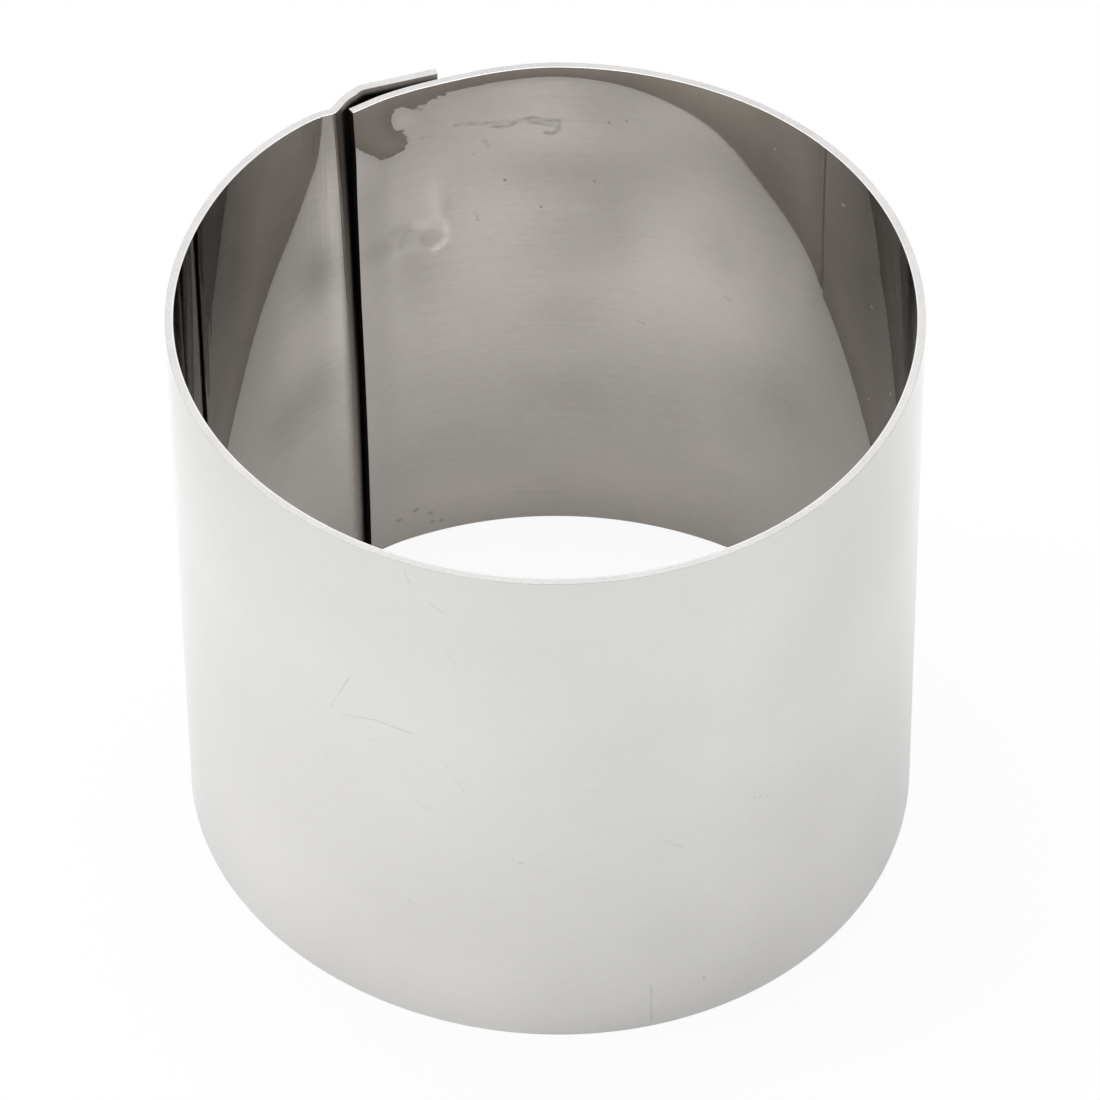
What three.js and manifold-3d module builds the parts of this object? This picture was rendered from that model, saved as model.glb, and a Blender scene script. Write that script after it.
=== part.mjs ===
// Mousse ring: a strip of polished stainless sheet rolled into an open ring and closed by a lap seam.
// One end of the strip is tucked inside. The other is joggled outwards, lies over it as a flat flange,
// and is held to it by two spot welds. Millimetres, +Z up, origin on the ring's axis at the bottom rim.
// The front of the ring faces -Y and the seam is at the back, left of the middle.

import * as THREE from 'three';
import { mergeVertices } from 'three/addons/utils/BufferGeometryUtils.js';
import Module from 'manifold-3d';

// Ring
const insideDiameter = 70;
const ringHeight = 60;
const sheetThickness = 0.8;

// Out of round that rolling and the pull of the seam leave: an oval and a three-cornered part
const ovalRise = 0.37;
const ovalCrest = THREE.MathUtils.degToRad(101.5);
const triangleRise = 0.25;
const triangleCrest = THREE.MathUtils.degToRad(50);

// Lap seam, with angles anticlockwise from +X about the ring's axis
const weldLine = THREE.MathUtils.degToRad(110.4);
const lapLength = 9;
const lapClearance = 0.15;
const rampAngle = THREE.MathUtils.degToRad(17);
const bendInsideRadius = 0.6;
const tuckedEndClearance = 0.1;

// Spot welds
const weldSpacing = 20;
const nuggetDiameter = 4.2;
const nuggetShareOfSheet = 0.45;
const nuggetClearance = 0.05;
const weldEdgeMargin = 0.25;

// Marks that the domed electrodes press into the outer faces of the lap
const electrodeDiameter = 5;
const electrodeDomeRadius = 25;
const electrodeMarkDepth = 0.08;

// Fineness of the round faces
const wallSegments = 180;
const bendSegments = 6;
const weldSegments = 32;
const domeSegments = 8;

// Plan of the strip's middle line
const halfSheet = sheetThickness / 2;
const wallRadius = insideDiameter / 2 + halfSheet;
const bendRadius = bendInsideRadius + halfSheet;
const flangeDistance = wallRadius + sheetThickness + lapClearance;
const weldToFlangeEnd = nuggetDiameter / 2 + weldEdgeMargin;
const tuckedEnd = weldLine + (lapLength - weldToFlangeEnd) / wallRadius;

// The ramp starts where its inner face passes the corner of the tucked end with the stated clearance
const rampOffset = bendRadius + halfSheet + tuckedEndClearance;
const cornerCosine = (Math.cos(rampAngle) * (wallRadius + bendRadius) - rampOffset) / (wallRadius + halfSheet);
const joggleStart = tuckedEnd + Math.acos(cornerCosine) - rampAngle;

const along = (angle, length) => new THREE.Vector2(Math.cos(angle), Math.sin(angle)).multiplyScalar(length);
const quarterTurn = Math.PI / 2;

// The first bend leaves the wall at the joggle, and the second turns the ramp into the flange
const rampHeading = joggleStart - quarterTurn + rampAngle;
const flangeHeading = weldLine - quarterTurn;
const firstBendCentre = along(joggleStart, wallRadius + bendRadius);
const rampStart = firstBendCentre.clone().add(along(rampHeading - quarterTurn, bendRadius));
const rise = flangeDistance - rampStart.dot(along(weldLine, 1));
const crest = rampStart.clone().add(along(rampHeading, rise / Math.sin(rampHeading - flangeHeading)));
const bendSetback = bendRadius * Math.tan((rampHeading - flangeHeading) / 2);
const secondBendCentre = crest.clone()
  .add(along(flangeHeading, bendSetback))
  .add(along(flangeHeading - quarterTurn, bendRadius));
const flangeEnd = along(weldLine, flangeDistance).add(along(flangeHeading, weldToFlangeEnd));

// One face of the strip from the tucked end to the flange's end: side is 1 outside and -1 inside
function facePoints(side) {
  const offset = side * halfSheet;
  const arc = (centre, radius, from, to, clockwise, segments) =>
    new THREE.EllipseCurve(centre.x, centre.y, radius, radius, from, to, clockwise).getPoints(segments);
  const wall = arc(new THREE.Vector2(), wallRadius + offset, tuckedEnd, joggleStart, true, wallSegments);
  const firstBend = arc(firstBendCentre, bendRadius - offset, joggleStart + Math.PI,
    rampHeading - quarterTurn, false, bendSegments);
  const secondBend = arc(secondBendCentre, bendRadius + offset, rampHeading + quarterTurn,
    flangeHeading + quarterTurn, true, bendSegments);
  const end = flangeEnd.clone().add(along(weldLine, offset));
  return [...wall, ...firstBend.slice(1), ...secondBend, end];
}

function outOfRound(angle) {
  return ovalRise * Math.cos(2 * (angle - ovalCrest)) + triangleRise * Math.cos(3 * (angle - triangleCrest));
}

function pushedOutOfRound(point) {
  return point.clone().setLength(point.length() + outOfRound(point.angle()));
}

// Solids for cutting, from closed geometries
const wasm = await Module();
wasm.setup();

function solidFrom(geometry) {
  const bare = geometry.clone();
  bare.deleteAttribute('normal');
  bare.deleteAttribute('uv');
  const merged = mergeVertices(bare);
  const vertProperties = new Float32Array(merged.attributes.position.array);
  const triVerts = new Uint32Array(merged.index.array);
  return new wasm.Manifold(new wasm.Mesh({ numProp: 3, vertProperties, triVerts }));
}

function geometryFrom(solid) {
  const { vertProperties, triVerts } = solid.getMesh();
  const geometry = new THREE.BufferGeometry();
  geometry.setAttribute('position', new THREE.BufferAttribute(vertProperties, 3));
  geometry.setIndex(new THREE.BufferAttribute(triVerts, 1));
  geometry.computeVertexNormals();
  return geometry;
}

// A weld nugget: a lens between the two sheets, grown all round to make its pocket
function nuggetLens(growth) {
  const radius = nuggetDiameter / 2 + growth;
  const depth = lapClearance / 2 + nuggetShareOfSheet * sheetThickness + growth;
  const profile = new THREE.EllipseCurve(0, 0, radius, depth, -quarterTurn, quarterTurn).getPoints(domeSegments);
  profile[0].x = 0;
  profile[domeSegments].x = 0;
  return new THREE.LatheGeometry(profile, weldSegments);
}

// An electrode's domed tip, with the dome's middle at the origin and the shank along -Y
function electrodeTip() {
  const radius = electrodeDiameter / 2;
  const spread = Math.asin(radius / electrodeDomeRadius);
  const dome = new THREE.EllipseCurve(0, -electrodeDomeRadius, electrodeDomeRadius, electrodeDomeRadius,
    quarterTurn - spread, quarterTurn).getPoints(domeSegments);
  dome[domeSegments].x = 0;
  const shankEnd = -electrodeDiameter;
  const profile = [new THREE.Vector2(0, shankEnd), new THREE.Vector2(radius, shankEnd), ...dome];
  return new THREE.LatheGeometry(profile, weldSegments);
}

// Places on the weld line: Y of the placed shape points outwards, or inwards where it is turned round
function onWeldLine(object, distance, height, inwards = false) {
  const outward = new THREE.Vector3(Math.cos(weldLine), Math.sin(weldLine), 0);
  const heading = inwards ? outward.clone().negate() : outward;
  object.quaternion.setFromUnitVectors(new THREE.Vector3(0, 1, 0), heading);
  object.position.copy(outward).multiplyScalar(distance + outOfRound(weldLine));
  object.position.z = height;
  object.updateMatrixWorld();
  return object;
}

function cutterOnWeldLine(geometry, distance, height, inwards) {
  const placed = onWeldLine(new THREE.Object3D(), distance, height, inwards);
  return solidFrom(geometry.clone().applyMatrix4(placed.matrixWorld));
}

const lapMiddle = wallRadius + halfSheet + lapClearance / 2;
const innerFace = wallRadius - halfSheet;
const flangeFace = flangeDistance + halfSheet;
const weldHeights = {
  upper: ringHeight / 2 + weldSpacing / 2,
  lower: ringHeight / 2 - weldSpacing / 2,
};

const polishedSteel = { color: 0xdcdad8, roughness: 0.2, metalness: 1 };
const weldMetal = { color: 0x8f8880, roughness: 0.55, metalness: 1 };

function ringBand() {
  const outline = [...facePoints(1), ...facePoints(-1).reverse()].map(pushedOutOfRound);
  const strip = new THREE.ExtrudeGeometry(new THREE.Shape(outline), { depth: ringHeight, bevelEnabled: false });
  let band = solidFrom(strip);
  for (const height of Object.values(weldHeights)) {
    const pocket = cutterOnWeldLine(nuggetLens(nuggetClearance), lapMiddle, height);
    const innerMark = cutterOnWeldLine(electrodeTip(), innerFace + electrodeMarkDepth, height);
    const outerMark = cutterOnWeldLine(electrodeTip(), flangeFace - electrodeMarkDepth, height, true);
    band = band.subtract(pocket).subtract(innerMark).subtract(outerMark);
  }
  const mesh = new THREE.Mesh(geometryFrom(band), new THREE.MeshStandardMaterial(polishedSteel));
  mesh.name = 'ring_band';
  return mesh;
}

function weldNugget(place) {
  const lens = geometryFrom(solidFrom(nuggetLens(0)));
  const mesh = new THREE.Mesh(lens, new THREE.MeshStandardMaterial(weldMetal));
  mesh.name = `weld_nugget_${place}`;
  return onWeldLine(mesh, lapMiddle, weldHeights[place]);
}

const mousseRing = new THREE.Group();
mousseRing.name = 'mousse_ring';
mousseRing.add(ringBand());
for (const place of Object.keys(weldHeights)) {
  mousseRing.add(weldNugget(place));
}

export default mousseRing;
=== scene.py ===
import math

import bmesh
import bpy
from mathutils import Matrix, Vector


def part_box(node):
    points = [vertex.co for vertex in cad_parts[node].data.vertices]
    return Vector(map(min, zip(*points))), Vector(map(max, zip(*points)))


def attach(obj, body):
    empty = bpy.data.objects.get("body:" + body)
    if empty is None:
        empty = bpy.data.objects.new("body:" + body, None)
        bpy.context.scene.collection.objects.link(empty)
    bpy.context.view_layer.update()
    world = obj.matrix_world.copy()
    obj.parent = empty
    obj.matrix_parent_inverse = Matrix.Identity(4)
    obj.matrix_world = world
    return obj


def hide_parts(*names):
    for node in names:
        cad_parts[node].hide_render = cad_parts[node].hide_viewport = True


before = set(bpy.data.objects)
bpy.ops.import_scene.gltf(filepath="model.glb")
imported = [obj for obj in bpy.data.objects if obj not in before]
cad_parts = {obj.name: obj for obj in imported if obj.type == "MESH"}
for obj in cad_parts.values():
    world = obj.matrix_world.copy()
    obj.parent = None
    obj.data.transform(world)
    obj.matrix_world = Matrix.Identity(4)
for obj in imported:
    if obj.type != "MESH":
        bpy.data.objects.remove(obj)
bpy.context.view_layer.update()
mm = 0.001
print("frame loaded:", ", ".join(sorted(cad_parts)))


# camera

cameraSettings = {
    "lens": 243.83,  # millimetres, as the sensor
    "sensorWidth": 36.0,
    "position": (0.0, -0.514503, 0.527003),
    "tiltDown": math.radians(44.055),
    "roll": math.radians(-0.6325),
    "clip": (0.05, 20.0),
}


def makeCamera(settings):
    camData = bpy.data.cameras.new("photoCamera")
    camData.lens = settings["lens"]
    camData.sensor_width = settings["sensorWidth"]
    camData.clip_start, camData.clip_end = settings["clip"]
    cam = bpy.data.objects.new("photoCamera", camData)
    cam.location = settings["position"]
    cam.rotation_mode = "ZYX"  # roll first, then the tilt
    cam.rotation_euler = (math.pi / 2 - settings["tiltDown"], 0.0, settings["roll"])
    bpy.context.scene.collection.objects.link(cam)
    bpy.context.scene.camera = cam


makeCamera(cameraSettings)
print("camera placed")


# band: one strip of sheet, rolled, joggled, lapped over its tucked end and spot welded

bandSettings = {
    "insideRadius": 35.0 * mm,
    "sheet": 0.8 * mm,
    "edgeRound": 0.04 * mm,
    "edgeSegments": 3,
    "edgeFrom": math.radians(75.0),  # corners that turn by more than this are rounded
    "weldLine": math.radians(110.4),
    "weldHeights": (40.0 * mm, 20.0 * mm),
    "tuckedEnd": math.radians(121.54),
    "joggleStart": math.radians(125.66),
    "rampAngle": math.radians(17.0),
    "bendRadius": 1.4 * mm,  # on the sheet's middle, at the root of the joggle
    "crestRadius": 3.5 * mm,
    "lapGap": 0.15 * mm,
    "weldToFlangeEnd": 2.35 * mm,
    # fineness: rows up the sheet, and stretches of wall as degrees reached and degrees a column
    "rows": 60,
    "fineRowsFrom": 35.0 * mm,
    "fineRowCuts": 2,
    "wallStretches": ((121.44, 0.1), (97.0, 0.45), (60.0, 1.0), (-190.0, 1.25), (-234.34, 0.8)),
    "edgeStrip": 0.12 * mm,  # a narrow strip beside each cut edge keeps the shading of the faces flat
    "bendColumns": 4,
    "crestColumns": 8,
    "rampColumns": 5,
    "flangeColumns": 16,
    "mergeWithin": 0.001 * mm,
    # what rolling, joggling and welding did to the true circle: rises point outwards
    "strain": {
        "ovalRise": 0.37 * mm,
        "ovalCrest": math.radians(101.5),
        "triangleRise": 0.25 * mm,
        "triangleCrest": math.radians(50.1),
        # swelling of the wall before the joggle: rise, then the middle and softness of its start and end
        "swelling": 0.674 * mm,
        "swellingGrows": (math.radians(151.5), math.radians(6.18)),
        "swellingEnds": (math.radians(125.7), math.radians(2.34)),
        "ripple": 0.287 * mm,
        "rippleMiddle": math.radians(54.6),
        "rippleWidth": math.radians(27.3),
        # lean of the tucked layer's upper half, inwards
        "lean": 0.797 * mm,
        "leanGrows": (math.radians(87.5), math.radians(109.0)),
        "leanMore": 0.057 * mm,
        "leanMoreGrows": (math.radians(109.0), math.radians(123.0)),
        "leanFrom": 34.4 * mm,
        "leanOver": 25.6 * mm,
        "leanPower": 1.2,
        # flare of the top edge
        "flare": 0.12 * mm,
        "flareOver": 2.35 * mm,
        "flareGrows": (math.radians(30.0), math.radians(60.0)),
        # tucked end: its curl inwards, and its shift, lean and bow along the strip
        "endCurl": 0.15 * mm,
        "endCurlOver": 4.0 * mm,
        "endShift": math.radians(-0.08),
        "endSkew": math.radians(0.70),
        "endBow": math.radians(0.53),
        "endSkewOver": 8.0 * mm,
        # flange: its tip presses in, and its crest stands off and is rounded
        "flangeTip": math.radians(106.8),
        "flangeTipPress": 0.12 * mm,
        "flangeCrest": math.radians(118.5),
        "flangeCrestLift": 0.26 * mm,
        "crestRound": 0.15 * mm,
        "crestRoundAt": math.radians(120.2),
        "crestRoundOver": math.radians(0.9),
        # crease along the root of the joggle, inwards, and its share at the foot
        "crease": 0.27 * mm,
        "creaseFoot": 0.4,
        "creaseAt": math.radians(124.75),
        "creaseOver": math.radians(1.4),
        # bow of the joggle's line below the top edge, towards the tucked end
        "joggleBow": math.radians(-0.85),
        "joggleMiddle": math.radians(123.6),
        "joggleOver": math.radians(3.0),
        # electrode marks: radius, depths, and the lip's share of the depth, place and width in radii
        "electrodeMark": 2.45 * mm,
        "electrodeDepths": (0.08 * mm, 0.03 * mm),
        "electrodeLip": (0.25, 1.08, 0.12),
        # dents of the tucked layer: place along the strip and height, half sizes, rise
        "dents": (
            (4.3 * mm, 55.0 * mm, 2.0 * mm, 2.81 * mm, 0.319 * mm),
            (3.55 * mm, 53.7 * mm, 3.85 * mm, 4.13 * mm, -0.411 * mm),
            (21.5 * mm, 50.2 * mm, 12.5 * mm, 5.63 * mm, 0.32 * mm),
            (17.4 * mm, 59.1 * mm, 7.65 * mm, 2.03 * mm, -0.077 * mm),
        ),
        # film and scale in the joggle, partly residue and partly painted shade and reflection: where each
        # starts and is full, counted from the tucked end
        "filmAndShadeGrows": (math.radians(3.5), math.radians(2.3)),
        "filmAndShadeLean": math.radians(0.6),
        "scaleAndShadeGrows": (math.radians(1.4), math.radians(0.8)),
        # scale on the tucked layer, under the flange, darkened as painted shade in the lap
        "tuckedScaleAndShadeGrows": (math.radians(106.0), math.radians(108.0)),
    },
}


def along(angle, length):
    return Vector((math.cos(angle), math.sin(angle), 0.0)) * length


def smoothStep(low, high, value):
    share = min(1.0, max(0.0, (value - low) / (high - low)))
    return share * share * (3.0 - 2.0 * share)


def softStep(middle, softness, value):
    return 1.0 / (1.0 + math.exp((middle - value) / softness))


def hump(value, middle, width):
    return math.exp(-((value - middle) / width) ** 2)


def bandPlan(settings):
    # middle line of the strip: wall, first bend, ramp, second bend, flange
    halfSheet = settings["sheet"] / 2
    wallRadius = settings["insideRadius"] + halfSheet
    joggle = settings["joggleStart"]
    bend = settings["bendRadius"]
    flangeAt = wallRadius + settings["sheet"] + settings["lapGap"]
    rampHeading = joggle - math.pi / 2 + settings["rampAngle"]
    flangeHeading = settings["weldLine"] - math.pi / 2
    firstCentre = along(joggle, wallRadius + bend)
    rampStart = firstCentre + along(rampHeading - math.pi / 2, bend)
    rise = flangeAt - rampStart.dot(along(settings["weldLine"], 1.0))
    turn = rampHeading - flangeHeading
    setback = settings["crestRadius"] * math.tan(turn / 2)
    rampLength = rise / math.sin(turn) - setback
    rampEnd = rampStart + along(rampHeading, rampLength)
    secondCentre = rampEnd + along(rampHeading - math.pi / 2, settings["crestRadius"])
    flangeStart = secondCentre + along(flangeHeading + math.pi / 2, settings["crestRadius"])
    flangeEnd = along(settings["weldLine"], flangeAt) + along(flangeHeading, settings["weldToFlangeEnd"])
    flangeLength = (flangeEnd - flangeStart).length - settings["edgeStrip"]
    return {
        "wallRadius": wallRadius,
        "firstCentre": firstCentre,
        "secondCentre": secondCentre,
        "turn": turn,
        "rampStep": along(rampHeading, rampLength / settings["rampColumns"]),
        "flangeStep": along(flangeHeading, flangeLength / settings["flangeColumns"]),
    }


def runOn(bm, line, step, count):
    # draws the last upright line on in equal steps
    for _ in range(count):
        edges = [g for g in line if isinstance(g, bmesh.types.BMEdge)]
        line = bmesh.ops.extrude_edge_only(bm, edges=edges)["geom"]
        verts = [g for g in line if isinstance(g, bmesh.types.BMVert)]
        bmesh.ops.translate(bm, vec=step, verts=verts)
        line = [g for g in line if not isinstance(g, bmesh.types.BMFace)]
    return line


def turnOn(bm, line, centre, angle, count):
    # spins the last upright line on about an upright axis
    spun = bmesh.ops.spin(bm, geom=line, cent=centre, axis=(0.0, 0.0, 1.0), dvec=(0.0, 0.0, 0.0),
                          angle=angle, steps=count, use_merge=False, use_duplicate=False)
    return spun["geom_last"]


def drawStrip(settings):
    # the sheet's middle face, from the tucked end round the wall to the flange's tip
    low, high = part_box("ring_band")
    plan = bandPlan(settings)
    bm = bmesh.new()
    margin = settings["edgeStrip"]
    start = along(settings["tuckedEnd"], plan["wallRadius"])
    heights = (low.z, low.z + margin, high.z - margin, high.z)
    posts = [bm.verts.new(start + Vector((0, 0, z))) for z in heights]
    _, upright, head = (bm.edges.new(posts[i:i + 2]) for i in range(3))
    bmesh.ops.subdivide_edges(bm, edges=[upright], cuts=settings["rows"] - 1)
    upper = [e for e in bm.edges if e is not head and min(v.co.z for v in e.verts) > settings["fineRowsFrom"]]
    bmesh.ops.subdivide_edges(bm, edges=upper, cuts=settings["fineRowCuts"])
    line = bm.verts[:] + bm.edges[:]
    reached = settings["tuckedEnd"]
    for degreesTo, degreesEach in settings["wallStretches"]:
        sweep = math.radians(degreesTo) - reached
        count = max(1, round(abs(sweep) / math.radians(degreesEach)))
        line = turnOn(bm, line, (0.0, 0.0, 0.0), sweep, count)
        reached += sweep
    line = turnOn(bm, line, plan["firstCentre"], settings["rampAngle"], settings["bendColumns"])
    line = runOn(bm, line, plan["rampStep"], settings["rampColumns"])
    line = turnOn(bm, line, plan["secondCentre"], -plan["turn"], settings["crestColumns"])
    line = runOn(bm, line, plan["flangeStep"], settings["flangeColumns"])
    runOn(bm, line, plan["flangeStep"].normalized() * margin, 1)
    bmesh.ops.remove_doubles(bm, verts=bm.verts[:], dist=settings["mergeWithin"])
    bmesh.ops.recalc_face_normals(bm, faces=bm.faces[:])
    bm.faces.ensure_lookup_table()
    sample = bm.faces[len(bm.faces) // 2]
    if sample.normal.dot(sample.calc_center_median() * Vector((1, 1, 0))) < 0:
        bmesh.ops.reverse_faces(bm, faces=bm.faces[:])
    return bm


def rolledRise(strain, angle, reach):
    # reach is the angle counted on from the flange's tip, which keeps the swelling off the tucked layer
    oval = strain["ovalRise"] * math.cos(2 * (angle - strain["ovalCrest"]))
    triangle = strain["triangleRise"] * math.cos(3 * (angle - strain["triangleCrest"]))
    swelling = strain["swelling"] * softStep(*strain["swellingEnds"], reach)
    swelling *= 1.0 - softStep(*strain["swellingGrows"], reach)
    turn = (angle - strain["rippleMiddle"]) / strain["rippleWidth"]
    return oval + triangle + swelling - strain["ripple"] * turn * math.exp(-turn * turn)


def tuckedRise(strain, angle, height, top, place):
    lean = strain["lean"] * smoothStep(*strain["leanGrows"], angle)
    lean += strain["leanMore"] * smoothStep(*strain["leanMoreGrows"], angle)
    lean *= max(0.0, (height - strain["leanFrom"]) / strain["leanOver"]) ** strain["leanPower"]
    flare = strain["flare"] * math.exp((height - top) / strain["flareOver"])
    flare *= smoothStep(*strain["flareGrows"], angle)
    curl = strain["endCurl"] * (1.0 - smoothStep(0.0, strain["endCurlOver"], place))
    dents = 0.0
    for dentPlace, dentHeight, halfLength, halfHeight, rise in strain["dents"]:
        dents += rise * hump(place, dentPlace, halfLength) * hump(height, dentHeight, halfHeight)
    return flare - lean - curl + dents


def flangeRise(strain, joggleStart, angle):
    # the flange tilts about its welds
    lift, press = strain["flangeCrestLift"], strain["flangeTipPress"]
    if angle > strain["flangeCrest"]:
        lift *= 1.0 - smoothStep(strain["flangeCrest"], joggleStart, angle)
        return lift - strain["crestRound"] * hump(angle, strain["crestRoundAt"], strain["crestRoundOver"])
    share = (angle - strain["flangeTip"]) / (strain["flangeCrest"] - strain["flangeTip"])
    return share * (lift + press) - press


def electrodeDent(settings, angle, height, radius):
    # a shallow bowl with a low lip at each spot weld
    strain = settings["strain"]
    lipShare, lipPlace, lipWidth = strain["electrodeLip"]
    depth = 0.0
    for weldHeight, markDepth in zip(settings["weldHeights"], strain["electrodeDepths"]):
        distance = math.hypot((angle - settings["weldLine"]) * radius, height - weldHeight)
        share = distance / strain["electrodeMark"]
        depth += markDepth * (max(0.0, 1.0 - share * share) - lipShare * hump(share, lipPlace, lipWidth))
    return depth


def strainStrip(bm, settings):
    # moves each vertex to where the worked sheet lies, and keeps its place on the flat strip
    # lapShade is 1 on the tucked layer's hidden part, and in the joggle -0.5 for film and -1 for scale; these
    # paint the lap's shade
    strain = settings["strain"]
    tuckedEnd = settings["tuckedEnd"]
    radius = settings["insideRadius"] + settings["sheet"] / 2
    top = max(v.co.z for v in bm.verts)
    stripPlace = bm.verts.layers.float_vector.new("stripPlace")
    lapShade = bm.verts.layers.float.new("lapShade")
    hair = 1e-6  # more than the rounding of an angle
    for vert in bm.verts:
        angle = math.atan2(vert.co.y, vert.co.x)
        height = vert.co.z
        share = height / top * 2.0 - 1.0
        lapped = angle > tuckedEnd + hair or vert.co.xy.length > radius + settings["sheet"] / 2
        endTurn = strain["endShift"] + strain["endSkew"] * share + strain["endBow"] * share * share
        bow = strain["joggleBow"] * (1.0 - max(0.0, share) ** 2)
        bow *= hump(angle, strain["joggleMiddle"], strain["joggleOver"])
        turned = (tuckedEnd - angle + hair) % (2 * math.pi)
        if lapped and 0.0 < angle < tuckedEnd:
            turned += 2 * math.pi
        place = turned * radius
        rise = rolledRise(strain, angle, tuckedEnd + 2 * math.pi - turned)
        if lapped:
            crease = strain["crease"] * (strain["creaseFoot"] + (1.0 - strain["creaseFoot"]) * height / top)
            rise -= crease * hump(angle, strain["creaseAt"], strain["creaseOver"])
        if lapped and 0.0 < angle < settings["joggleStart"]:
            rise += flangeRise(strain, settings["joggleStart"], angle)
            rise -= electrodeDent(settings, angle, height, radius)
            inLap = angle - tuckedEnd - endTurn
            # the film and the scale here paint the joggle's shade and what it mirrors
            filmAndShade = smoothStep(*strain["filmAndShadeGrows"], inLap + strain["filmAndShadeLean"] * share)
            vert[lapShade] = -0.5 * (filmAndShade + smoothStep(*strain["scaleAndShadeGrows"], inLap + bow))
        elif not lapped:
            rise += tuckedRise(strain, angle, height, top, place)
            rise += electrodeDent(settings, angle, height, radius)
            angle += endTurn * math.exp(-place / strain["endSkewOver"])
            # scale under the flange, painted as shade in the lap
            vert[lapShade] = smoothStep(*strain["tuckedScaleAndShadeGrows"], angle)
        if lapped:
            angle += bow
        vert[stripPlace] = Vector((place, height, 0.0))
        vert.co = along(angle, vert.co.xy.length + rise) + Vector((0, 0, height))


def makeBand(settings):
    bm = drawStrip(settings)
    strainStrip(bm, settings)
    for face in bm.faces:
        face.smooth = True
    mesh = bpy.data.meshes.new("ring_band_sheet")
    bm.to_mesh(mesh)
    bm.free()
    band = bpy.data.objects.new("ring_band_sheet", mesh)
    bpy.context.scene.collection.objects.link(band)
    wall = band.modifiers.new("sheetThickness", "SOLIDIFY")
    wall.thickness = settings["sheet"]
    wall.offset = 0.0
    wall.use_even_offset = True
    wall.material_offset = 1
    wall.material_offset_rim = 2
    wall.shell_vertex_group = band.vertex_groups.new(name="innerSide").name
    edge = band.modifiers.new("brokenEdges", "BEVEL")
    edge.width = settings["edgeRound"]
    edge.segments = settings["edgeSegments"]
    edge.material = 2
    edge.harden_normals = True
    edge.limit_method = "ANGLE"
    edge.angle_limit = settings["edgeFrom"]
    weights = band.modifiers.new("innerSideWeights", "VERTEX_WEIGHT_EDIT")  # holds them between 0 and 1
    weights.vertex_group = wall.shell_vertex_group
    return band


# material helpers

def newSteel(name):
    material = bpy.data.materials.new(name)
    material.use_nodes = True
    shader = material.node_tree.nodes["Principled BSDF"]
    shader.inputs["Metallic"].default_value = 1.0
    return material, material.node_tree, shader


def addNode(tree, kind, values=None, **options):
    node = tree.nodes.new(kind)
    for name, value in options.items():
        setattr(node, name, value)
    for name, value in (values or {}).items():
        if isinstance(value, bpy.types.NodeSocket):
            tree.links.new(value, node.inputs[name])
        else:
            node.inputs[name].default_value = value
    return node


def ease(tree, value, low, high, fromLow=0.0, fromHigh=1.0):
    # maps a value from one range to another, held at its ends
    ranges = {"Value": value, "From Min": fromLow, "From Max": fromHigh, "To Min": low, "To Max": high}
    return addNode(tree, "ShaderNodeMapRange", ranges).outputs["Result"]


def addUp(tree, value, share, total):
    values = {0: value, 1: share, 2: total}
    return addNode(tree, "ShaderNodeMath", values, operation="MULTIPLY_ADD").outputs[0]


def mixColour(tree, share, first, second):
    values = {0: share, 6: first, 7: second}
    return addNode(tree, "ShaderNodeMix", values, data_type="RGBA").outputs[2]


def flat(colour):
    return (*colour, 1.0)


def numberMath(tree, operation, first, second):
    return addNode(tree, "ShaderNodeMath", {0: first, 1: second}, operation=operation).outputs[0]


def vectorMath(tree, operation, first, second):
    node = addNode(tree, "ShaderNodeVectorMath", {0: first, 1: second}, operation=operation)
    return node.outputs["Value" if operation in ("DOT_PRODUCT", "DISTANCE") else "Vector"]


def scaled(tree, vector, factor):
    values = {0: vector, "Scale": factor}
    return addNode(tree, "ShaderNodeVectorMath", values, operation="SCALE").outputs["Vector"]


def attribute(tree, name, output):
    return addNode(tree, "ShaderNodeAttribute", attribute_name=name).outputs[output]


def mottle(tree, place, size, detail):
    # noise about zero, drawn out to a length and a width in millimetres
    stretch = (1.0 / (size[0] * mm), 1.0 / (size[1] * mm), 1.0)
    drawn = vectorMath(tree, "MULTIPLY", place, stretch)
    noise = addNode(tree, "ShaderNodeTexNoise", {"Vector": drawn, "Scale": 1.0, "Detail": detail})
    return ease(tree, noise.outputs["Fac"], -1.0, 1.0, fromLow=0.2, fromHigh=0.8)  # little noise lies beyond


def groupTree(name, inputs):
    group = bpy.data.node_groups.new(name, "ShaderNodeTree")
    for inputName, kind in inputs.items():
        group.interface.new_socket(inputName, in_out="INPUT", socket_type="NodeSocket" + kind)
    group.interface.new_socket("Mask", in_out="OUTPUT", socket_type="NodeSocketFloat")
    start = addNode(group, "NodeGroupInput")
    end = addNode(group, "NodeGroupOutput")
    return group, start.outputs, end.inputs["Mask"]


def makePatchGroup():
    # a soft round patch: 1 in its middle, fading over its half sizes
    sockets = {"Place": "Vector", "Middle": "Vector", "Half Size": "Vector"}
    group, given, mask = groupTree("softPatch", sockets)
    away = vectorMath(group, "SUBTRACT", given["Place"], given["Middle"])
    share = vectorMath(group, "DIVIDE", away, given["Half Size"])
    square = vectorMath(group, "DOT_PRODUCT", share, share)
    turned = numberMath(group, "MULTIPLY", square, -1.0)
    fade = addNode(group, "ShaderNodeMath", {0: turned}, operation="EXPONENT")
    group.links.new(fade.outputs[0], mask)
    return group


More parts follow.
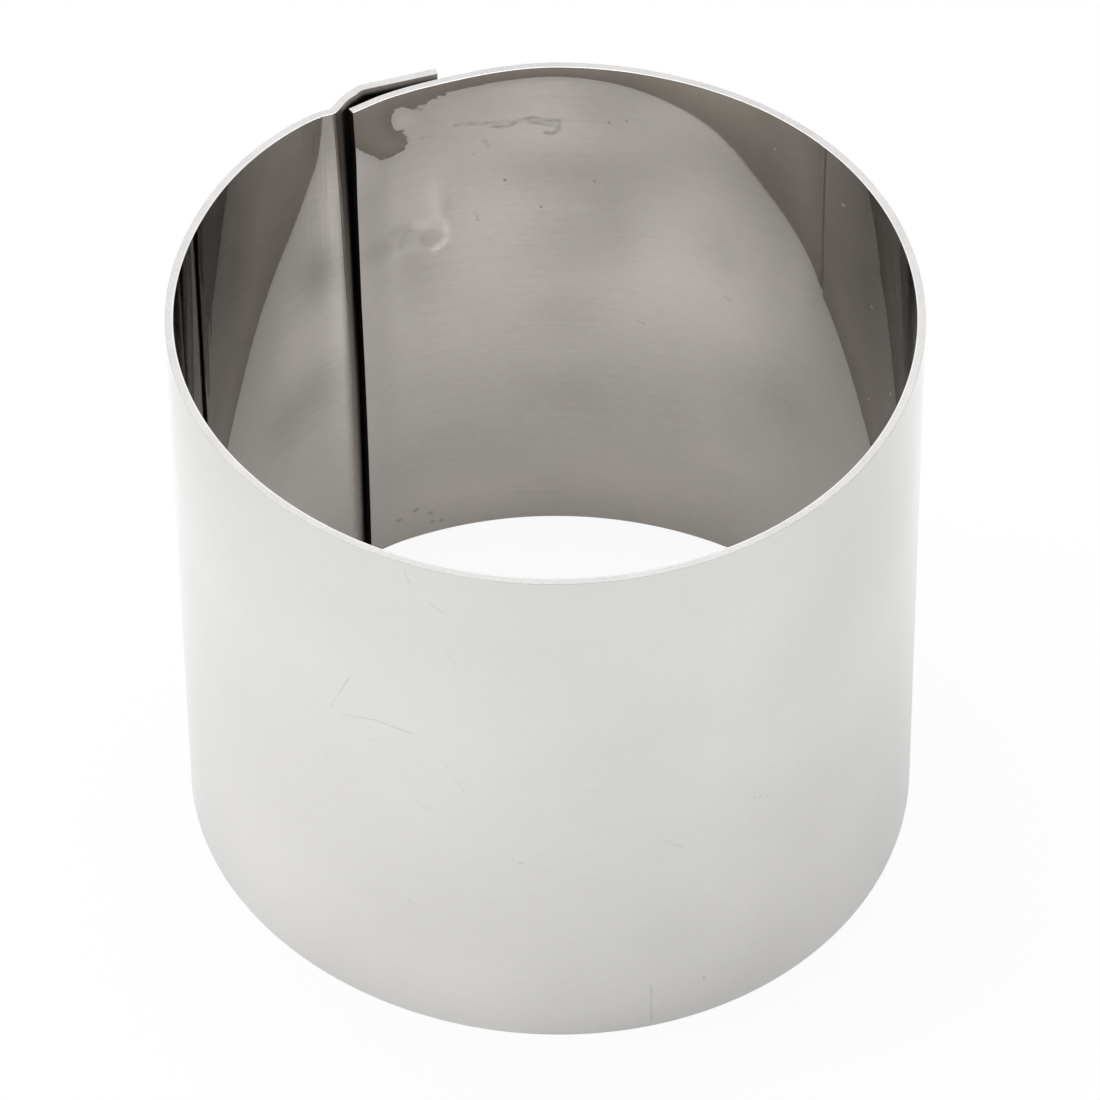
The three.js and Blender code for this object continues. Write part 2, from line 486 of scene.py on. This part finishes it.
def makeStrokeGroup():
    # a straight stroke: 1 along its middle, 0 beyond its half width
    sockets = {"Place": "Vector", "Start": "Vector", "Run": "Vector"}
    sockets.update({"One Over Square": "Float", "Half Width": "Float"})
    group, given, mask = groupTree("softStroke", sockets)
    away = vectorMath(group, "SUBTRACT", given["Place"], given["Start"])
    reach = vectorMath(group, "DOT_PRODUCT", away, given["Run"])
    values = {0: reach, 1: given["One Over Square"]}
    share = addNode(group, "ShaderNodeMath", values, operation="MULTIPLY", use_clamp=True).outputs[0]
    gap = vectorMath(group, "DISTANCE", away, scaled(group, given["Run"], share))
    values = {"Value": gap, "From Min": given["Half Width"], "From Max": 0.0}
    fade = addNode(group, "ShaderNodeMapRange", values, interpolation_type="SMOOTHSTEP")
    group.links.new(fade.outputs["Result"], mask)
    return group


patchGroup = makePatchGroup()
strokeGroup = makeStrokeGroup()


def softPatch(tree, place, patch):
    node = addNode(tree, "ShaderNodeGroup", node_tree=patchGroup)
    tree.links.new(place, node.inputs["Place"])
    node.inputs["Middle"].default_value = (patch[0] * mm, patch[1] * mm, 0.0)
    node.inputs["Half Size"].default_value = (patch[2] * mm, patch[3] * mm, 1.0)
    return node.outputs["Mask"]


def softStroke(tree, place, start, end, halfWidth):
    run = (Vector(end) - Vector(start)).to_3d() * mm
    node = addNode(tree, "ShaderNodeGroup", node_tree=strokeGroup)
    tree.links.new(place, node.inputs["Place"])
    node.inputs["Start"].default_value = Vector(start).to_3d() * mm
    node.inputs["Run"].default_value = run
    node.inputs["One Over Square"].default_value = 1.0 / run.length_squared
    node.inputs["Half Width"].default_value = halfWidth * mm
    return node.outputs["Mask"]


# finishes of the band: tones change along the strip, so patterns follow the sheet's own place attribute

bandFinish = {
    # millimetres along the strip from its tucked end, and up the sheet
    "inside": {
        "colour": (0.445, 0.421, 0.397),
        "grazingTint": 0.9,  # of what is mirrored at a low angle
        "roughness": (0.026, 0.044),
        "brushLines": (14.0, 0.35),  # length and width of the polishing lines
        "brushDepth": 0.00015,
        "brushTone": 0.035,
        "cloudSize": (17.0, 22.0),
        "cloudTone": 0.07,
        "grainSize": (1.3, 0.8),
        "grainTone": 0.03,
        "wander": 0.45,  # of the marks' outlines
        "dentWaves": (2.0, 0.008),  # size and depth of the waves in the dented corner
        "dentPatch": (6.0, 54.0, 8.0, 8.0),
        "streaks": (0.3, 9.0, 0.14),  # beside the joggle: width, length, tone
        "streakPatch": (219.0, 51.0, 2.6, 9.0),
        # soft patches, painted light and shade in what the polish mirrors, and the smear's end: place,
        # height, half length, half height, tone
        "patches": (
            (37.5, 38.0, 11.0, 13.0, 0.16),
            (24.0, 39.5, 6.5, 7.0, -0.18),
            (45.0, 24.0, 6.0, 5.0, -0.14),
            (25.0, 22.0, 14.0, 7.0, -0.06),
            (25.0, 54.5, 4.5, 3.5, -0.16),
            (21.5, 28.5, 4.0, 3.0, -0.08),
            (30.0, 5.5, 17.0, 5.0, 0.16),
            (10.0, 4.0, 9.0, 4.0, 0.17),
            (38.7, 12.3, 6.0, 3.2, 0.13),
            (37.8, 39.5, 2.6, 3.0, -0.11),
            (26.6, 41.4, 3.0, 5.0, -0.08),
            (35.0, 47.5, 4.0, 3.5, 0.1),
            (19.9, 17.7, 5.0, 3.5, -0.09),
            (11.0, 45.0, 9.0, 9.0, 0.06),
            (36.5, 57.5, 7.0, 4.0, 0.34),
            (60.0, 50.0, 8.0, 13.0, -0.2),
            (46.8, 40.5, 2.0, 7.0, 0.12),
            (219.6, 58.0, 2.6, 5.0, -0.16),
            (218.2, 40.5, 2.4, 3.6, -0.24),
            (217.6, 38.0, 2.6, 7.0, -0.1),
            (217.2, 25.5, 3.0, 4.0, -0.17),
            (212.5, 23.5, 3.0, 4.5, -0.15),
            (214.5, 33.0, 3.0, 6.0, 0.12),
            (212.0, 8.0, 9.0, 7.0, 0.15),
            (202.0, 56.0, 8.0, 15.0, -0.32),
            (193.5, 52.0, 6.5, 22.0, -0.56),
            # about the upper spot weld: painted highlights and shade of its relief
            (2.4, 40.6, 2.4, 1.6, -0.15),
            (6.4, 35.6, 3.2, 4.4, -0.13),
            (4.9, 39.2, 1.2, 0.5, 0.1),
            (8.3, 45.0, 0.7, 3.2, 0.12),
            (9.6, 44.2, 0.7, 2.6, -0.1),
            (10.9, 46.0, 0.6, 6.0, -0.03),
            # under the hooked end of the grease smear
            (19.3, 52.9, 1.6, 0.5, -0.1),
        ),
        # ovals with a clear edge
        "ovals": (
            # the electrode mark's dent: painted highlight and shade
            (4.7, 42.2, 1.3, 0.85, -0.1),
            (7.8, 40.0, 1.25, 1.15, -0.13),
            (6.7, 42.2, 1.1, 0.6, 0.13),
            (13.5, 51.3, 0.35, 0.3, -0.14),
            (13.8, 50.7, 0.3, 0.35, -0.1),
            (12.3, 49.8, 0.1, 0.1, -0.3),
            (15.4, 45.9, 0.16, 0.16, -0.5),
            (19.0, 42.1, 0.13, 0.16, -0.4),
            (12.7, 41.7, 0.12, 0.18, -0.25),
            (12.7, 41.2, 0.12, 0.18, -0.25),
            (25.7, 53.2, 0.12, 0.14, -0.4),
            (27.5, 53.7, 0.1, 0.12, -0.4),
            (24.3, 45.6, 0.12, 0.16, -0.3),
            # specks of dust in the dark right side
            (68.4, 56.9, 0.4, 0.2, 1.2),
            (68.5, 56.1, 0.5, 0.2, 1.0),
            (66.3, 49.7, 0.3, 0.18, 0.7),
            (63.8, 39.1, 0.25, 0.16, 1.0),
            (58.6, 46.1, 0.25, 0.18, 0.8),
            (58.6, 33.9, 0.14, 0.16, 0.9),
            (52.9, 54.8, 0.2, 0.17, 0.9),
            (43.5, 56.0, 0.16, 0.16, 0.6),
            # dark specks near the foot
            (3.4, 3.1, 0.4, 0.22, -0.3),
            (5.3, 3.7, 0.35, 0.25, -0.3),
            (7.0, 2.8, 0.35, 0.22, -0.3),
            (7.1, 1.5, 0.3, 0.16, -0.3),
            (8.1, 1.4, 0.25, 0.16, -0.3),
        ),
        # strokes through points: half width, tone, points
        "strokes": (
            # a smear of grease: its tail, its bend back and a second line beside it
            (0.4, -0.22, (10.5, 54.2), (13.0, 53.8), (14.1, 53.6), (15.7, 53.5), (16.2, 53.3)),
            (0.4, -0.34, (14.3, 53.0), (15.5, 52.8), (16.2, 52.9), (16.7, 53.4), (17.6, 53.6),
             (18.3, 53.6), (19.2, 53.3), (20.4, 53.1), (20.8, 53.0), (20.9, 52.4), (20.7, 51.7),
             (20.1, 51.4), (19.6, 51.5)),
            (0.4, -0.26, (17.9, 53.1), (18.7, 52.8), (19.6, 52.5), (20.6, 52.5)),
            (0.22, -0.26, (7.0, 53.6), (7.4, 53.6)),
            (0.2, -0.26, (7.9, 53.5), (8.2, 53.5)),
            # a painted highlight on the spot weld's lip
            (0.8, 0.16, (8.2, 42.9), (9.2, 42.0), (9.5, 40.6), (9.4, 39.2), (8.2, 38.4)),
            (0.3, 0.14, (9.3, 41.6), (9.5, 40.4), (9.5, 39.4), (9.0, 38.5), (8.1, 38.4)),
            # scratches
            (0.16, -0.3, (37.8, 34.1), (38.7, 33.8)),
            (0.16, -0.22, (28.8, 27.8), (29.3, 27.5)),
            (0.3, -0.1, (15.8, 3.6), (21.0, 3.3)),
            (0.3, -0.2, (218.1, 58.6), (217.9, 56.0)),
        ),
        # dulled by handling at the left and the right: place, height, half length, half height, roughness
        "dulled": (
            (74.2, 53.0, 5.0, 14.0, 0.26),
            (186.3, 53.0, 5.0, 14.0, 0.16),
        ),
        "heatTint": (0.40, 0.35, 0.30),
        "heatPatches": ((5.5, 37.4, 1.0, 0.9),),
    },
    "outside": {
        "colour": (0.71, 0.703, 0.69),
        "heatTint": (0.62, 0.56, 0.48),
        "heatPatches": ((229.3, 40.0, 2.8, 3.0), (229.3, 20.0, 2.5, 2.8)),
        "grazingTint": 0.97,
        "roughness": (0.10, 0.125),
        "brushLines": (20.0, 0.3),
        "brushDepth": 0.0004,
        "brushTone": 0.012,
        "cloudSize": (24.0, 18.0),
        "cloudTone": 0.03,
        "grainSize": (1.6, 1.0),
        "grainTone": 0.012,
        "wander": 0.15,
        # soft patches: painted light and shade in what the polish mirrors: place, height, half length, half
        # height, tone
        "patches": (
            (126.0, 34.0, 13.0, 16.0, -0.07),
            (162.0, 5.0, 14.0, 14.0, 0.12),
            (102.0, 8.0, 13.0, 13.0, 0.08),
            (142.0, 4.0, 9.0, 7.0, 0.06),
            (120.1, 12.8, 5.0, 5.0, -0.05),
            (137.6, 7.9, 6.0, 5.0, 0.05),
            (170.8, 21.5, 9.0, 14.0, 0.04),
        ),
        "ovals": (
            (111.4, 26.8, 0.16, 0.16, -0.1),
            (110.7, 26.5, 0.18, 0.18, -0.12),
            (110.0, 26.1, 0.16, 0.16, -0.1),
            (133.7, 23.6, 0.2, 0.2, -0.08),
            (144.4, 15.5, 0.2, 0.2, -0.08),
            (116.5, 4.7, 0.14, 0.4, -0.14),
            (148.0, 35.5, 0.2, 0.2, -0.08),
            # rings and paler middles of the spot welds
            (229.3, 40.0, 2.6, 2.6, -0.2),
            (229.3, 40.0, 2.0, 2.0, 0.15),
            (229.3, 20.0, 2.6, 2.6, -0.18),
            (229.3, 20.0, 2.0, 2.0, 0.13),
        ),
        "strokes": (
            (0.12, -0.2, (152.4, 37.5), (151.4, 39.8), (150.0, 42.8)),
            (0.12, -0.22, (151.0, 37.3), (147.4, 38.4), (143.6, 38.2)),
            (0.14, -0.18, (144.0, 59.1), (143.5, 57.7)),
            (0.12, -0.16, (141.5, 55.7), (140.0, 54.6)),
            (0.14, -0.24, (121.7, 5.7), (121.7, 0.5)),
            (0.1, -0.14, (143.5, 29.4), (141.6, 28.5)),
            (0.12, -0.1, (141.0, 36.0), (139.0, 32.5), (138.2, 31.0)),
            (0.12, -0.1, (140.2, 50.2), (139.4, 48.4)),
            (0.1, -0.14, (120.6, 25.2), (118.6, 23.6)),
            (0.1, -0.1, (134.6, 24.0), (131.6, 22.8)),
        ),
    },
    "edge": {
        "colour": (0.46, 0.454, 0.448),
        "roughness": (0.66, 0.76),
        "shearLines": (0.5, 0.12),
        "shearTone": 0.12,
        "shearDepth": 0.002,
        "nickSize": (6.0, 3.0),
        "nickTone": 0.1,
        # the inner corner, which shearing rolled over and polishing brightened
        "rolledColour": (0.62, 0.612, 0.604),
        "rolledRoughness": 0.25,
        "rolledFrom": (0.8, 0.95),
        "endFace": 0.05,  # the tucked end's own face, painted dark as shade in the slit, partly scale
    },
    # in the joggle a dull film, partly residue and partly painted shade and reflection, paler towards the
    # foot as painted reflection; in the lap near-black scale that is painted shade, paler along the top edge
    # as painted light where light reaches in
    "lap": {
        "filmAndShade": (0.2, 0.175, 0.155),
        "filmAndShadeFoot": (0.44, 0.405, 0.375),
        "scaleAndShade": (0.018, 0.016, 0.014),
        "roughness": 0.5,
        "litTop": (0.5, 0.46, 0.43),
        "litTopFrom": 59.1,
        "litTopOver": 0.5,
        "litTopRoughness": 0.8,
    },
    # outlines of the marks: their waviness, the ovals' edge, the breaks in the strokes, the most heat tint
    "marks": {
        "waveScale": 900.0,
        "ovalEdge": (0.22, 0.55),
        "breakSize": (0.9, 0.9),
        "breakFrom": (-0.5, 0.3),
        "breakTone": (0.25, 1.0),
        "heatShare": 0.5,
    },
}


def wearAndPaintedLight(tree, place, settings, marks, total):
    # placed patches, ovals and strokes, with their outlines roughened a little: marks of wear, and painted
    # light and shade
    waves = addNode(tree, "ShaderNodeTexNoise", {"Vector": place, "Scale": marks["waveScale"], "Detail": 2.0})
    offset = vectorMath(tree, "SUBTRACT", waves.outputs["Color"], (0.5, 0.5, 0.5))
    reach = (settings["wander"] * mm, settings["wander"] * mm, 0.0)
    rough = vectorMath(tree, "ADD", place, vectorMath(tree, "MULTIPLY", offset, reach))
    for patch in settings["patches"]:
        total = addUp(tree, softPatch(tree, rough, patch), patch[4], total)
    for oval in settings["ovals"]:
        mask = ease(tree, softPatch(tree, rough, oval), 0.0, 1.0, *marks["ovalEdge"])
        total = addUp(tree, mask, oval[4], total)
    breaks = mottle(tree, place, marks["breakSize"], detail=2.0)
    broken = ease(tree, breaks, *marks["breakTone"], *marks["breakFrom"])
    for halfWidth, tone, *points in settings["strokes"]:
        mask = softStroke(tree, rough, *points[:2], halfWidth)
        for start, end in zip(points[1:], points[2:]):
            mask = numberMath(tree, "MAXIMUM", mask, softStroke(tree, rough, start, end, halfWidth))
        total = addUp(tree, numberMath(tree, "MULTIPLY", mask, broken), tone, total)
    return total


def polishedColour(tree, place, settings, marks, brush, cloud):
    # polishing lines, clouds and grain, then the marks of wear with painted light and shade, and the tint of
    # the welds' heat
    grain = mottle(tree, place, settings["grainSize"], detail=2.0)
    tone = addUp(tree, brush, settings["brushTone"], 1.0)
    tone = addUp(tree, cloud, settings["cloudTone"], tone)
    tone = addUp(tree, grain, settings["grainTone"], tone)
    tone = wearAndPaintedLight(tree, place, settings, marks, tone)
    if "streaks" in settings:
        *size, streakTone = settings["streaks"]
        streaks = mottle(tree, place, size, detail=2.0)
        streaks = numberMath(tree, "MULTIPLY", streaks, softPatch(tree, place, settings["streakPatch"]))
        tone = addUp(tree, streaks, streakTone, tone)
    colour = scaled(tree, settings["colour"], tone)
    for patch in settings["heatPatches"]:
        heat = ease(tree, softPatch(tree, place, patch), 0.0, marks["heatShare"])
        colour = mixColour(tree, heat, colour, flat(settings["heatTint"]))
    return colour


def faceRelief(tree, place, settings, brush):
    # the polishing lines, and the waves of the dented corner
    bump = addNode(tree, "ShaderNodeBump", {"Height": brush, "Distance": settings["brushDepth"] * mm})
    if "dentPatch" in settings:
        size, depth = settings["dentWaves"]
        waves = mottle(tree, place, (size, size), detail=2.0)
        waves = numberMath(tree, "MULTIPLY", waves, softPatch(tree, place, settings["dentPatch"]))
        values = {"Height": waves, "Distance": depth * mm, "Normal": bump.outputs["Normal"]}
        bump = addNode(tree, "ShaderNodeBump", values)
    return bump.outputs["Normal"]


def makeFaceFinish(name, finish, face, side):
    # side: 1 where the hidden face is the tucked layer's, -1 where it is the flange's
    settings, lap = finish[face], finish["lap"]
    material, tree, shader = newSteel(name)
    place = attribute(tree, "stripPlace", "Vector")
    brush = mottle(tree, place, settings["brushLines"], detail=2.0)
    cloud = mottle(tree, place, settings["cloudSize"], detail=3.0)
    colour = polishedColour(tree, place, settings, finish["marks"], brush, cloud)

    # film covers the polish up to half of lapShade, and scale from there: painted shade and reflection in the
    # joggle and the lap, partly residue and scale
    shade = attribute(tree, "lapShade", "Fac")
    filmedAndShaded = ease(tree, shade, 0.0, 1.0, 0.0, 0.5 * side)
    hidden = ease(tree, shade, 0.0, 1.0, 0.5 * side, side)
    height = addNode(tree, "ShaderNodeSeparateXYZ", {"Vector": place}).outputs["Y"]
    # paler along the top edge, where light reaches into the lap: painted light
    litTopFrom = lap["litTopFrom"] * mm
    litTop = ease(tree, height, 0.0, 1.0, litTopFrom, litTopFrom + lap["litTopOver"] * mm)
    rising = ease(tree, height, 0.0, 1.0, 0.0, litTopFrom)
    filmAndShade = mixColour(tree, rising, flat(lap["filmAndShadeFoot"]), flat(lap["filmAndShade"]))
    scaleAndShade = mixColour(tree, litTop, flat(lap["scaleAndShade"]), flat(lap["litTop"]))
    colour = mixColour(tree, filmedAndShaded, colour, filmAndShade)
    colour = mixColour(tree, hidden, colour, scaleAndShade)
    tree.links.new(colour, shader.inputs["Base Color"])
    metal = ease(tree, numberMath(tree, "SUBTRACT", hidden, filmedAndShaded), 0.0, 1.0, -1.0, 0.0)  # 0 on the painted film alone, which is no metal
    tree.links.new(metal, shader.inputs["Metallic"])

    polish = ease(tree, cloud, *settings["roughness"], -1.0, 1.0)
    for patch in settings.get("dulled", ()):
        polish = addUp(tree, softPatch(tree, place, patch), patch[4], polish)
    lapRoughness = ease(tree, litTop, lap["roughness"], lap["litTopRoughness"])
    roughness = addNode(tree, "ShaderNodeMix", {0: filmedAndShaded, 2: polish, 3: lapRoughness}).outputs[0]
    tree.links.new(roughness, shader.inputs["Roughness"])
    shader.inputs["Specular Tint"].default_value = flat((settings["grazingTint"],) * 3)
    tree.links.new(faceRelief(tree, place, settings, brush), shader.inputs["Normal"])
    return material


def makeEdgeFinish(finish):
    settings = finish["edge"]
    material, tree, shader = newSteel("cutEdge")
    solid = addNode(tree, "ShaderNodeTexCoord").outputs["Object"]
    shear = mottle(tree, solid, settings["shearLines"], detail=2.0)
    nicks = mottle(tree, solid, settings["nickSize"], detail=3.0)
    tone = addUp(tree, shear, settings["shearTone"], 1.0)
    tone = addUp(tree, nicks, settings["nickTone"], tone)
    colour = scaled(tree, settings["colour"], tone)
    rolled = ease(tree, attribute(tree, "innerSide", "Fac"), 0.0, 1.0, *settings["rolledFrom"])
    clear = ease(tree, attribute(tree, "lapShade", "Fac"), 0.0, 1.0, -0.5, 0.0)
    rolled = numberMath(tree, "MULTIPLY", rolled, clear)
    colour = mixColour(tree, rolled, colour, flat(settings["rolledColour"]))
    # the tucked end's own face is painted dark: painted shade in the slit
    place = attribute(tree, "stripPlace", "Vector")
    fromEnd = addNode(tree, "ShaderNodeSeparateXYZ", {"Vector": place}).outputs["X"]
    hidden = ease(tree, fromEnd, 1.0, 0.0, 0.0, settings["endFace"] * mm)
    colour = mixColour(tree, hidden, colour, flat(finish["lap"]["scaleAndShade"]))
    tree.links.new(colour, shader.inputs["Base Color"])
    dull = ease(tree, nicks, *settings["roughness"], -1.0, 1.0)
    values = {0: rolled, 2: dull, 3: settings["rolledRoughness"]}
    roughness = addNode(tree, "ShaderNodeMix", values).outputs[0]
    tree.links.new(roughness, shader.inputs["Roughness"])
    bump = addNode(tree, "ShaderNodeBump", {"Height": shear, "Distance": settings["shearDepth"] * mm})
    tree.links.new(bump.outputs["Normal"], shader.inputs["Normal"])
    return material


band = makeBand(bandSettings)
band.data.materials.append(makeFaceFinish("outsidePolish", bandFinish, "outside", 1.0))
band.data.materials.append(makeFaceFinish("insideFinish", bandFinish, "inside", -1.0))
band.data.materials.append(makeEdgeFinish(bandFinish))
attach(band, "root")
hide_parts("ring_band")
print("band made:", len(band.data.polygons), "faces before its thickness")


# weld nuggets: the CAD's own lenses, in cast weld metal that is rippled, dull and tinted by heat

# lengths in millimetres
nuggetFinish = {
    "colour": (0.42, 0.39, 0.36),
    "tint": (0.24, 0.18, 0.15),
    "roughness": (0.38, 0.6),
    "rippleSize": 0.5,
    "rippleDepth": 0.05,
}


def makeWeldFinish(settings):
    material, tree, shader = newSteel("castWeld")
    solid = addNode(tree, "ShaderNodeTexCoord").outputs["Object"]
    ripple = mottle(tree, solid, (settings["rippleSize"],) * 2, detail=4.0)
    values = {"Vector": solid, "Scale": 1.0 / (settings["rippleSize"] * mm)}
    grains = addNode(tree, "ShaderNodeTexVoronoi", values).outputs["Distance"]
    share = ease(tree, ripple, 0.0, 1.0, -1.0, 1.0)
    colour = mixColour(tree, share, flat(settings["colour"]), flat(settings["tint"]))
    tree.links.new(colour, shader.inputs["Base Color"])
    tree.links.new(ease(tree, grains, *settings["roughness"]), shader.inputs["Roughness"])
    bump = addNode(tree, "ShaderNodeBump", {"Height": grains, "Distance": settings["rippleDepth"] * mm})
    tree.links.new(bump.outputs["Normal"], shader.inputs["Normal"])
    return material


weldFinish = makeWeldFinish(nuggetFinish)
for nuggetName in ("weld_nugget_upper", "weld_nugget_lower"):
    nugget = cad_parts[nuggetName]
    nugget.data.materials.clear()
    nugget.data.materials.append(weldFinish)
print("weld nuggets finished")


# floor, backdrop and light

# lengths in metres, powers in watts
studioSettings = {
    "floorSize": 3.0,
    "floorDrop": 0.02 * mm,
    "floorTone": 0.92,
    "floorWhiteToCamera": 0.9,
    "floorWhiteToMetal": 0.05,
    "skyStrength": 0.07,
    # lamps: place, diameter, power
    "softBox": ((0.03, 0.1, 1.2), 1.1, 14.0),
    "backLamp": ((-0.5, 0.7, 1.2), 0.9, 1.8),
    "sideFill": ((-0.85, 0.0, 0.85), 0.6, 2.9),
}


def lightPathMask(tree, cameraShare, metalShare):
    # share of white that a ray sees: camera rays, and the rays that metal and glass send on
    path = addNode(tree, "ShaderNodeLightPath").outputs
    metal = numberMath(tree, "ADD", path["Is Glossy Ray"], path["Is Transmission Ray"])
    values = {0: path["Is Camera Ray"], 1: cameraShare, 2: numberMath(tree, "MULTIPLY", metal, metalShare)}
    return addNode(tree, "ShaderNodeMath", values, operation="MULTIPLY_ADD", use_clamp=True).outputs[0]


def makeFloor(settings):
    bm = bmesh.new()
    bmesh.ops.create_grid(bm, x_segments=1, y_segments=1, size=settings["floorSize"] / 2)
    mesh = bpy.data.meshes.new("studioFloor")
    bm.to_mesh(mesh)
    bm.free()
    floor = bpy.data.objects.new("studioFloor", mesh)
    floor.location.z = -settings["floorDrop"]
    bpy.context.scene.collection.objects.link(floor)
    material = bpy.data.materials.new("paleFloor")
    material.use_nodes = True
    tree = material.node_tree
    tree.nodes.clear()
    paper = addNode(tree, "ShaderNodeBsdfDiffuse", {"Color": flat((settings["floorTone"],) * 3)})
    white = addNode(tree, "ShaderNodeEmission")
    share = lightPathMask(tree, settings["floorWhiteToCamera"], settings["floorWhiteToMetal"])
    mix = addNode(tree, "ShaderNodeMixShader", {0: share, 1: paper.outputs[0], 2: white.outputs[0]})
    addNode(tree, "ShaderNodeOutputMaterial", {"Surface": mix.outputs[0]})
    mesh.materials.append(material)


def makeWorld(settings):
    world = bpy.data.worlds.new("studio")
    bpy.context.scene.world = world
    world.use_nodes = True
    tree = world.node_tree
    sky = tree.nodes["Background"]
    sky.inputs["Color"].default_value = (1.0, 1.0, 1.0, 1.0)
    strength = ease(tree, lightPathMask(tree, 1.0, 1.0), settings["skyStrength"], 1.0)
    tree.links.new(strength, sky.inputs["Strength"])


def makeLamp(settings, name):
    place, diameter, power = settings[name]
    lampData = bpy.data.lights.new(name, "AREA")
    lampData.shape = "DISK"
    lampData.size = diameter
    lampData.energy = power
    lamp = bpy.data.objects.new(name, lampData)
    lamp.location = place
    lamp.rotation_euler = (-Vector(place)).to_track_quat("-Z", "Y").to_euler()
    bpy.context.scene.collection.objects.link(lamp)


makeFloor(studioSettings)
makeWorld(studioSettings)
for lampName in ("softBox", "backLamp", "sideFill"):
    makeLamp(studioSettings, lampName)
bpy.context.scene.view_settings.view_transform = "Standard"
print("studio lit")
